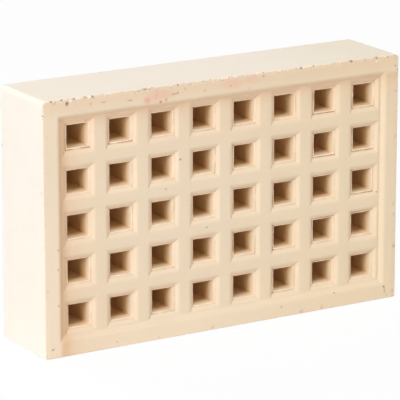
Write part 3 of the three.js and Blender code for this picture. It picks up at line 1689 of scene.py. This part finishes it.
@dataclass(frozen=True)
class BevelLeeShade:
    """Painted shade: the darker pinkish tan in the lee of the panel's left and upper bevels,
    with a weaker share of the same tint over the upper border.
    """

    form: BrickForm
    even: float = 1.0
    near: float = 3.0
    far: float = 17.0
    near_share: float = 0.8
    far_share: float = 0.4
    upper_share: float = 0.65
    border_share: float = 0.33
    bevel_reach: float = 1.4  # share of the bevel's width
    patch_size: float = 9.0
    patch_least: float = 0.75
    patch_spread: float = 0.5

    def _fade(self, write: TreeWriter, away: Any) -> Any:
        """How strong the painted shade is at a distance in from the foot of the bevel.

        Args:
            write: The group's writer.
            away: The distance.

        Returns:
            The strength's socket.
        """
        inward = write.most(write.minus(away, self.even * MM), 0.0)
        near = write.math("EXPONENT", write.over(inward, -self.near * MM))
        far = write.math("EXPONENT", write.over(inward, -self.far * MM))
        both = write.plus(write.times(near, self.near_share), write.times(far, self.far_share))
        return write.times(both, self._panel(write, away))

    def _panel(self, write: TreeWriter, away: Any) -> Any:
        """0 on the border and 1 from the foot of the bevel on."""
        return write.step(away, -self.bevel_reach * self.form.bevel_width * MM, 0.0)

    def group(self) -> EffectGroup:
        """Makes the group.

        Returns:
            The group, whose output is the painted shade's mask.
        """
        group = EffectGroup("bevel lee shade")
        form, write = self.form, group.write
        place = group.take("Place", "Vector")
        across, _, up = write.parts(place)
        rim = form.border_width + form.bevel_width
        left_foot = (form.die_shift[0] + rim - form.length / 2) * MM
        upper_foot = (form.height + form.die_shift[1] - rim) * MM
        inward = write.minus(across, left_foot)
        downward = write.minus(upper_foot, up)
        left = write.times(self._fade(write, inward), self._panel(write, downward))
        upper = write.times(self._fade(write, downward), self._panel(write, inward))
        upper = write.times(upper, self.upper_share)
        border = write.step(up, upper_foot, upper_foot + form.border_width * MM)
        border = write.times(border, self.border_share)
        mask = write.most(write.most(left, upper), border)
        uneven = write.noise(place, 1 / (self.patch_size * MM), 2.0)
        patchy = write.plus(self.patch_least, write.times(uneven, self.patch_spread))
        group.give("Mask", write.math("MULTIPLY", mask, patchy, clamp=True))
        return group


@dataclass(frozen=True)
class SpotMarks:
    """All marks of one colour on the outer face."""

    form: BrickForm
    stain: Stain
    spots: Sequence[Spot]
    wander: float = 0.5
    wander_size: float = 1.6
    core: float = 0.2  # share of a mark's radius that is full

    def group(self) -> EffectGroup:
        """Makes the group.

        Returns:
            The group, whose output is the marks' mask.
        """
        form = self.form
        group = EffectGroup(f"{self.stain.value} marks")
        write = group.write
        place = group.take("Place", "Vector")
        shake = write.noise(place, 1 / (self.wander_size * MM), 2.0, "Color")
        shake = write.scaled(write.vector("SUBTRACT", shake, (0.5,) * 3), self.wander * 2 * MM)
        loose = write.vector("ADD", place, shake)
        mask: Any = 0.0
        for spot in self.spots:
            if spot.stain is not self.stain:
                continue
            middle = form.height / 2
            depth = form.face_depth(np.array(spot.across), np.array(spot.up - middle))
            centre = (spot.across * MM, (form.front + float(depth)) * MM, spot.up * MM)
            along, upright = spot.stretch
            away = write.vector("SUBTRACT", loose, centre)
            away = write.vector("MULTIPLY", away, (1 / along, 1.0, 1 / upright))
            radius = spot.radius * MM
            near = write.step(write.vector("LENGTH", away), radius, radius * self.core)
            mask = write.most(mask, write.times(near, spot.strength))
        group.give("Mask", mask)
        return group


@dataclass(frozen=True)
class FiredClay:
    """Buff clay, matt and sandy, paler on the pressed beds and ends, with painted shade and
    painted highlights laid into its colour.
    """

    face: Colour = srgb(236, 216, 188)
    # Painted light: a paler tint on the lower border and on the lower part of the left border.
    lit_face: Colour = srgb(239, 220, 193)
    warm_face: Colour = srgb(236, 215, 183)
    # Painted shade in the lee of the panel's left and upper bevels.
    lee_shade: Colour = srgb(227, 192, 156)
    pressed: Colour = srgb(249, 238, 222)
    # Painted shade: the pressed sides darker towards the right end, away from the light.
    shaded_pressed: Colour = srgb(244, 233, 212)
    end: Colour = srgb(243, 235, 221)
    # Painted shade: a warmer, darker tint on the splays' facets.
    splay: Colour = srgb(237, 204, 169)
    # Painted shade: a darker, browner tint that deepens down the openings' walls.
    bore: Colour = srgb(226, 188, 137)
    # The pale colour of the painted highlights on the throats' rims and the burrs' crests, also
    # used for the pale flecks on the arrises.
    lip: Colour = srgb(255, 243, 220)
    # Painted shade: the dark brown of the grooves and the corner creases.
    groove: Colour = srgb(176, 124, 84)
    # Painted shade: the dark brown inside pits and chips.
    pit: Colour = srgb(165, 128, 95)
    stains: tuple[tuple[Stain, Colour], ...] = (
        (Stain.PINK, srgb(236, 176, 154)),
        (Stain.BROWN, srgb(186, 136, 96)),
        # The grit colour also paints the shade inside the upper arris's pits.
        (Stain.GRIT, srgb(98, 74, 52)),
        # Painted highlight on the lit rims of the upper arris's pits.
        (Stain.PALE, srgb(253, 244, 230)),
    )
    roughness: float = 0.9
    specular: float = 0.2
    grain_height: float = 0.05
    border_edge: Range = (1.1, 0.9)  # shares of the border's width
    lit_bed_span: Range = (0.6, -0.4)  # shares of half the length
    lit_end_span: Range = (0.8, 0.2)  # shares of the height
    warm_span: Range = (-0.3, 0.9)  # shares of half the length
    pressed_shade_span: Range = (0.1, 0.5)  # shares of the length
    splay_shade_span: Range = (0.15, 1.0)
    lit_splay: float = 0.4
    bore_shade_span: Range = (0.0, 0.16)
    rim_highlight_span: Range = (0.75, 1.0)
    rim_highlight_share: float = 0.3
    crest_highlight_span: Range = (0.1, 0.6)
    crest_highlight_share: float = 0.8
    groove_shade_span: Range = (0.08, 1.0)
    groove_shade_share: float = 0.75

    def _face(self, write: TreeWriter, form: BrickForm, place: Any) -> Any:
        """The colour of the bare face: paler along its foot, which is painted light, and darker
        in the lee of the panel's left and upper bevels, which is painted shade.

        Args:
            write: The material's writer.
            form: The brick's sizes.
            place: Where the surface lies.

        Returns:
            The colour's socket.
        """
        across, _, up = write.parts(place)
        half, height = form.length / 2 * MM, form.height * MM
        outer, inner = (form.border_width * MM * edge for edge in self.border_edge)
        # Painted light on the lower border, fading towards the right, and on the left border,
        # fading towards the top.
        bed = write.step(up, outer, inner)
        bed = write.times(bed, write.step(across, *(half * part for part in self.lit_bed_span)))
        end = write.step(across, outer - half, inner - half)
        end = write.times(end, write.step(up, *(height * part for part in self.lit_end_span)))
        warm = write.step(across, *(half * part for part in self.warm_span))
        colour = write.tint(warm, (*self.face, 1), self.warm_face)
        colour = write.tint(write.most(bed, end), colour, self.lit_face)
        # Painted shade in the lee of the panel's left and upper bevels.
        lee_shade = BevelLeeShade(form).group().use(write, Place=place)["Mask"]
        return write.tint(lee_shade, colour, self.lee_shade)

    def build(self, form: BrickForm, spots: Sequence[Spot]) -> bpy.types.Material:
        """Makes the material.

        Args:
            form: The brick's sizes, which the marks are placed by.
            spots: The marks on the outer face.

        Returns:
            The material.
        """
        material = bpy.data.materials.new("fired_clay")
        material.use_nodes = True
        tree = material.node_tree
        write = TreeWriter(tree)
        shader = tree.nodes["Principled BSDF"]
        shader.inputs["Roughness"].default_value = self.roughness
        shader.inputs["Specular IOR Level"].default_value = self.specular
        place = write.add("ShaderNodeTexCoord").outputs["Object"]

        def mask(part: Skin | Side) -> Any:
            """Reads the mask of one part of the brick from the mesh."""
            name = part.attribute if isinstance(part, Side) else part.value
            return write.add("ShaderNodeAttribute", attribute_name=name).outputs["Fac"]

        colour = self._face(write, form, place)
        across = write.parts(place)[0]
        # Painted shade on the pressed sides, growing towards the right end, away from the light.
        pressed_shade = write.step(across, *(part * form.length * MM for part in self.pressed_shade_span))
        pressed = write.tint(pressed_shade, (*self.pressed, 1), self.shaded_pressed)
        colour = write.blend(mask(Skin.PRESSED), colour, pressed)
        colour = write.tint(mask(Skin.END), colour, self.end)
        # Painted shade on the splays: full on the left and upper facets, which face away from
        # the light, and weaker on the right and lower ones.
        dim = write.lifted(write.most(mask(Side.LEFT), mask(Side.TOP)), self.lit_splay)
        splay_shade_mask = write.times(write.step(mask(Skin.THROAT), *self.splay_shade_span), dim)
        colour = write.tint(splay_shade_mask, colour, self.splay)
        # Painted shade down the openings' walls, full some way behind the throat.
        colour = write.tint(write.step(mask(Skin.BORE), *self.bore_shade_span), colour, self.bore)
        # Painted highlight along the throats' rims on every side but the left, whose wall faces
        # away from the light.
        share = write.minus(self.rim_highlight_share, write.times(mask(Side.LEFT), self.rim_highlight_share))
        rim = write.times(write.step(mask(Skin.THROAT), *self.rim_highlight_span), share)
        colour = write.tint(rim, colour, self.lip)
        sand = SandyGrain().group().use(write, Place=place)
        grey = write.add("ShaderNodeCombineXYZ", {n: sand["Brightness"] for n in range(3)})
        colour = write.blend(1.0, colour, grey.outputs[0], "MULTIPLY")
        # Painted highlight on the crests of the burrs.
        crest = write.times(write.step(mask(Skin.CREST), *self.crest_highlight_span), self.crest_highlight_share)
        colour = write.tint(crest, colour, self.lip)
        # Painted shade in the grooves beside the burrs and in the splays' corner creases; the
        # crease at the bevel's foot is darkened with it too.
        groove = write.times(write.step(mask(Skin.GROOVE), *self.groove_shade_span), self.groove_shade_share)
        colour = write.tint(groove, colour, self.groove)
        flecks = ArrisFlecks(form).group().use(write, Place=place, Arris=mask(Skin.ARRIS))
        # Pale flecks along the arrises, partly paler broken clay and partly painted highlight,
        # then the painted shade of their tiny pits.
        colour = write.tint(flecks["Pale"], colour, self.lip)
        colour = write.tint(flecks["Pit shade"], colour, self.pit)
        # Painted shade inside the pressed pits and the chips.
        colour = write.tint(mask(Skin.PITTED), colour, self.pit)
        for stain, tint in self.stains:
            marks = SpotMarks(form, stain, spots).group().use(write, Place=place)["Mask"]
            colour = write.tint(marks, colour, tint)
        write.feed(shader.inputs["Base Color"], colour)
        feeds = {"Height": sand["Height"], "Distance": self.grain_height * MM}
        bump = write.add("ShaderNodeBump", feeds)
        write.feed(shader.inputs["Normal"], bump.outputs["Normal"])
        return material


# ---------------------------------------------------------------- the assembly


@dataclass
class AirBrick:
    """The whole brick."""

    form: BrickForm
    clay: FiredClay = field(default_factory=FiredClay)
    name: str = "clay_air_brick"

    def burrs(self) -> list[Burr]:
        """Lists the lips that stand out most.

        Returns:
            The lips.
        """
        return [
            Burr(7, 1, Side.LEFT, 1.2),
            Burr(7, 1, Side.BOTTOM, 0.8),
            Burr(8, 1, Side.LEFT, 1.0),
            Burr(8, 1, Side.BOTTOM, 0.5),
            Burr(7, 2, Side.LEFT, 1.3),
            Burr(7, 2, Side.BOTTOM, 1.0),
            Burr(8, 2, Side.LEFT, 1.1),
            Burr(8, 2, Side.BOTTOM, 0.8),
            Burr(6, 2, Side.LEFT, 0.7),
            Burr(5, 2, Side.LEFT, 0.8),
            Burr(1, 1, Side.LEFT, 0.7),
            Burr(1, 1, Side.BOTTOM, 0.7),
            Burr(2, 1, Side.LEFT, 0.7),
            Burr(2, 1, Side.BOTTOM, 0.6),
            Burr(8, 3, Side.LEFT, 0.8),
            Burr(8, 3, Side.BOTTOM, 0.7),
            Burr(6, 3, Side.LEFT, 0.7),
            Burr(5, 4, Side.LEFT, 0.7),
            Burr(6, 4, Side.LEFT, 0.8),
            Burr(7, 4, Side.TOP, 0.7),
            Burr(7, 4, Side.LEFT, 0.9),
            Burr(8, 4, Side.TOP, 0.8),
            Burr(6, 5, Side.LEFT, 0.8),
            Burr(7, 5, Side.TOP, 0.6),
        ]

    def pits(self) -> list[Pit]:
        """Lists the pits that stand out most on the upper arris and the border.

        Returns:
            The pits.
        """
        line, depth, worn = self.form.height - 0.2, 0.45, (0.0, 0.7, -0.7)
        arris = [
            Pit(across, line, radius, depth, worn)
            for across, radius in (
                (-102.2, 0.7),
                (-96.4, 0.6),
                (-89.2, 0.7),
                (-83.2, 0.8),
                (-78.6, 0.9),
                (-48.3, 0.8),
                (-28.9, 0.8),
                (22.6, 0.8),
                (45.9, 0.9),
                (77.5, 0.9),
                (93.4, 0.9),
            )
        ]
        return arris + [Pit(-93.1, 132.4, 1.3, 0.9), Pit(-102.8, 4.9, 0.9)]

    def spots(self) -> list[Spot]:
        """Lists the stains, specks and scratches on the outer face, with painted shade in the
        upper arris's pits and painted highlights beside them.

        Returns:
            The marks.
        """
        pink, brown, grit, pale = Stain.PINK, Stain.BROWN, Stain.GRIT, Stain.PALE
        return [
            Spot(pink, -46.9, 128.6, 2.7, 0.85, (1.2, 1.0)),
            Spot(pink, -42.0, 129.8, 1.7, 0.75, (0.8, 2.0)),
            Spot(pink, -39.5, 130.2, 5.5, 0.4, (2.0, 0.85)),
            Spot(pink, 3.5, 131.4, 5.0, 0.35, (1.8, 0.85)),
            Spot(pink, 15.0, 132.4, 4.5, 0.3, (1.6, 0.85)),
            Spot(pink, -57.2, 21.0, 1.4, 0.6),
            Spot(brown, -39.3, 126.8, 1.1, 0.7),
            Spot(brown, -36.0, 127.5, 1.1, 0.6),
            Spot(brown, -29.1, 130.3, 1.0, 0.7),
            Spot(brown, -31.2, 130.0, 0.8, 0.5, (3.5, 1.0)),
            Spot(brown, -72.6, 130.8, 0.7, 0.6, (3.0, 1.0)),
            Spot(brown, -57.4, 129.8, 0.7, 0.6, (3.0, 1.0)),
            Spot(brown, -79.9, 130.9, 1.1, 0.4),
            Spot(brown, -24.8, 131.8, 1.2, 0.3),
            Spot(brown, -12.9, 129.7, 1.2, 0.3),
            Spot(brown, 100.4, 4.9, 0.7, 0.75, (1.0, 3.6)),
            Spot(brown, -99.1, 57.2, 1.0, 0.5),
            Spot(brown, -99.5, 47.0, 1.0, 0.5),
            Spot(brown, -99.4, 28.0, 1.0, 0.5),
            Spot(brown, -81.5, 122.0, 1.0, 0.6),
            # Grit marks: those on the upper arris mostly sit in its pits and are painted shade;
            # the others are dark grit specks.
            Spot(grit, -93.1, 132.4, 1.0, 0.8, (0.8, 1.3)),
            Spot(grit, -102.2, 134.3, 0.7, 0.55),
            Spot(grit, -89.2, 134.7, 0.6, 0.4),
            Spot(grit, -83.2, 134.3, 0.5, 0.4),
            Spot(grit, -78.1, 133.6, 0.6, 0.5),
            Spot(grit, -45.7, 134.2, 0.8, 0.5),
            Spot(grit, 22.5, 133.0, 0.8, 0.5),
            Spot(grit, 52.9, 134.8, 0.6, 0.4),
            Spot(grit, 100.0, 7.0, 0.9, 0.7),
            Spot(grit, 95.6, 60.2, 0.9, 0.5),
            Spot(grit, 105.2, 129.0, 0.8, 0.45),
            Spot(grit, 105.6, 115.0, 0.8, 0.45),
            Spot(grit, 68.2, 8.3, 0.8, 0.5),
            Spot(grit, 34.4, 6.0, 0.8, 0.4),
            Spot(grit, -65.7, 3.2, 0.8, 0.4),
            Spot(grit, -26.8, 94.5, 0.9, 0.6),
            Spot(grit, -35.4, 80.0, 0.8, 0.5),
            Spot(grit, -10.9, 56.0, 0.8, 0.5),
            Spot(grit, 16.9, 46.7, 0.8, 0.5),
            Spot(grit, 2.5, 130.3, 0.7, 0.4),
            Spot(grit, 14.1, 127.6, 0.7, 0.4),
            # Painted highlights on the lit rims of the upper arris's pits.
            Spot(pale, -91.3, 133.9, 1.2, 0.8),
            Spot(pale, -87.0, 134.5, 1.2, 0.7, (1.6, 0.8)),
            Spot(pale, -80.5, 134.2, 1.1, 0.7),
            Spot(pale, 93.0, 132.6, 0.9, 0.7),
        ]

    def build(self) -> bpy.types.Object:
        """Builds the brick and ties it to the frame.

        Returns:
            The finished piece.
        """
        clay = self.clay.build(self.form, self.spots())
        ruling = MeshRuling(self.form)
        unit = OpeningUnit(self.form, ruling)
        surround = Surround(self.form, ruling, unit).build(self.pits())
        grid = OpeningGrid(self.form, self.burrs())
        raw = grid.build(surround, unit.build(), clay)
        piece = ClaySurface(self.form).weather(raw, self.name, clay)
        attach(piece, CAD_BODY)
        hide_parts(CAD_NODE)
        return piece


# ---------------------------------------------------------------- the studio


@dataclass(frozen=True)
class SoftBox:
    """A square soft light that looks at the brick. Its sizes are in metres."""

    name: str
    azimuth: float
    elevation: float
    distance: float
    size: float
    power: float
    colour: Colour = (0.996, 1.0, 1.014)

    def build(self, aim: Vector) -> None:
        """Hangs the light.

        Args:
            aim: The point that it looks at.
        """
        away = direction(self.azimuth, self.elevation)
        lamp = bpy.data.lights.new(self.name, "AREA")
        lamp.size = self.size
        lamp.energy = self.power
        lamp.color = self.colour
        made = bpy.data.objects.new(self.name, lamp)
        bpy.context.scene.collection.objects.link(made)
        made.location = aim + away * self.distance
        made.rotation_euler = (-away).to_track_quat("-Z", "Y").to_euler()
        log.info("light %s: %.1f W", self.name, self.power)


@dataclass(frozen=True)
class Studio:
    """A plain pale floor, soft lights and a white surround that only the camera sees."""

    floor_size: float = 6.0
    floor_glow: float = 0.94
    floor_colour: Colour = (0.9, 0.9, 0.9)
    world_strength: float = 0.04
    world_colour: Colour = (1.0, 0.86, 0.7)
    lights: tuple[SoftBox, ...] = (
        SoftBox("overhead", -10, 80, 3.0, 1.6, 18.3),
        SoftBox("key", -20, 62, 3.0, 0.7, 19.5),
        SoftBox("broad_fill", -35, 52, 3.0, 1.6, 7.7),
        SoftBox("front", -10, 25, 3.0, 1.6, 8.5),
        SoftBox("left", -62, 20, 3.0, 1.0, 37, colour=(0.99, 1.005, 1.055)),
        SoftBox("low_left", -68, 12, 3.0, 0.7, 12),
        SoftBox("right", 70, 10, 3.0, 0.8, 18),
        SoftBox("behind", -160, 40, 3.0, 1.2, 31),
    )

    def build(self, aim: Vector) -> None:
        """Builds the studio round the brick.

        Args:
            aim: The point that the lights look at.
        """
        self._floor()
        self._world()
        for light in self.lights:
            light.build(aim)

    def _seen(self, write: TreeWriter) -> Any:
        """Tells apart what the camera sees directly, in gloss or through glass.

        Args:
            write: The writer of a material or world.

        Returns:
            The socket of a mask that is 1 there.
        """
        path = write.add("ShaderNodeLightPath").outputs
        seen = write.most(path["Is Camera Ray"], path["Is Glossy Ray"])
        return write.most(seen, path["Is Transmission Ray"])

    def _floor(self) -> None:
        """Lays the floor."""
        mesh = bpy.data.meshes.new("floor")
        half = self.floor_size / 2
        corners = [(-half, -half, 0), (half, -half, 0), (half, half, 0), (-half, half, 0)]
        mesh.from_pydata(corners, [], [(0, 1, 2, 3)])
        material = bpy.data.materials.new("pale_floor")
        material.use_nodes = True
        write = TreeWriter(material.node_tree)
        shader = material.node_tree.nodes["Principled BSDF"]
        shader.inputs["Base Color"].default_value = (*self.floor_colour, 1)
        shader.inputs["Roughness"].default_value = 1.0
        glow = write.add("ShaderNodeEmission").outputs[0]
        share = write.times(self._seen(write), self.floor_glow)
        mixed = write.add("ShaderNodeMixShader", {0: share, 1: shader.outputs[0], 2: glow})
        output = material.node_tree.nodes["Material Output"]
        write.feed(output.inputs["Surface"], mixed.outputs[0])
        mesh.materials.append(material)
        new_object("floor", mesh)

    def _world(self) -> None:
        """Sets the world: white to the eye and dim as a light."""
        world = bpy.data.worlds.new("studio")
        world.use_nodes = True
        write = TreeWriter(world.node_tree)
        dim = world.node_tree.nodes["Background"]
        dim.inputs["Color"].default_value = (*self.world_colour, 1)
        dim.inputs["Strength"].default_value = self.world_strength
        bright = write.add("ShaderNodeBackground", {"Color": (1, 1, 1, 1), "Strength": 1.0})
        feeds = {0: self._seen(write), 1: dim.outputs[0], 2: bright.outputs[0]}
        mixed = write.add("ShaderNodeMixShader", feeds)
        write.feed(world.node_tree.nodes["World Output"].inputs["Surface"], mixed.outputs[0])
        bpy.context.scene.world = world


@dataclass(frozen=True)
class ProductCamera:
    """A long lens that looks down on the outer face from its left end."""

    aim: tuple[float, float, float] = (-2.34, 0.0, 64.64)
    azimuth: float = -30.997
    elevation: float = 15.297
    distance: float = 1602.0
    lens: float = 274.25
    sensor: float = 36.0

    def build(self) -> Vector:
        """Sets the scene's camera.

        Returns:
            The point that it looks at.
        """
        back = direction(self.azimuth, self.elevation)
        aim = Vector(self.aim) * MM
        data = bpy.data.cameras.new("product_camera")
        data.lens, data.sensor_width = self.lens, self.sensor
        camera = bpy.data.objects.new("product_camera", data)
        bpy.context.scene.collection.objects.link(camera)
        camera.location = aim + back * self.distance * MM
        camera.rotation_mode = "QUATERNION"
        camera.rotation_quaternion = (-back).to_track_quat("-Z", "Y")
        bpy.context.scene.camera = camera
        return aim


def main() -> None:
    """Builds the camera, the brick and its studio, and reports the piece."""
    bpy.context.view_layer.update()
    bpy.context.scene.view_settings.view_transform = "Standard"
    aim = ProductCamera().build()
    piece = AirBrick(BrickForm.from_frame()).build()
    mesh = piece.data
    log.info("%s: %d vertices, %d faces", piece.name, len(mesh.vertices), len(mesh.polygons))
    Studio().build(aim)


if __name__ == "__main__":
    main()
